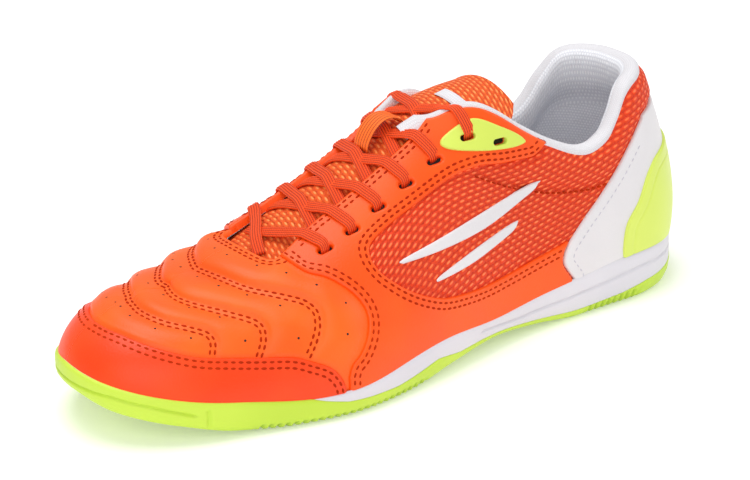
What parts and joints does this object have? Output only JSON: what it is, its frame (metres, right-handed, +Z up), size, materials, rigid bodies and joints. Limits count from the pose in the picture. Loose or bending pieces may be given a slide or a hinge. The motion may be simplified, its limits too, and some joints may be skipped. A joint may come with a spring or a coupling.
{
  "type": "indoor soccer shoe",
  "caption": "Low-cut left indoor soccer shoe with mesh upper, overlapping flat laces, padded collar and a flat sole.",
  "frame": {"origin": "on the floor under the middle of the shoe's bounding box", "axes": "+Z up, -X to the toe, +X to the heel, -Y to the lateral side, +Y to the medial side"},
  "size_m": [0.3002, 0.1106, 0.1084],
  "materials": {
    "outsole_rubber": "satin lime rubber",
    "midsole_foam": "satin moulded foam",
    "insole": "matt knitted sock liner",
    "upper_mesh": "matt mesh with pale dashes",
    "overlay_leather": "satin synthetic leather",
    "trim_white": "satin synthetic leather",
    "trim_lime": "glossy moulded film",
    "lining": "soft padded textile",
    "tongue_mesh": "padded mesh with pale dashes",
    "laces": "matt ribbed flat lace"
  },
  "bodies": {
    "root": {"outsole": "outsole_rubber", "midsole": "midsole_foam", "insole": "insole", "upper": "upper_mesh", "collar_lining": "lining", "tongue": "tongue_mesh", "toe_overlay": "overlay_leather", "heel_counter": "trim_white", "heel_patch": "trim_lime", "side_overlay_lateral": "overlay_leather", "eyelet_patch_lateral": "trim_lime", "side_bar_lateral_1": "trim_white", "side_bar_lateral_2": "trim_white", "side_overlay_medial": "overlay_leather", "eyelet_patch_medial": "trim_lime", "side_bar_medial_1": "trim_white", "side_bar_medial_2": "trim_white", "lace_bar": "laces", "lace_crossing_1": "laces", "lace_crossing_2": "laces", "lace_crossing_3": "laces", "lace_crossing_4": "laces", "lace_crossing_5": "laces", "lace_keeper": "laces"}
  },
  "joints": []
}
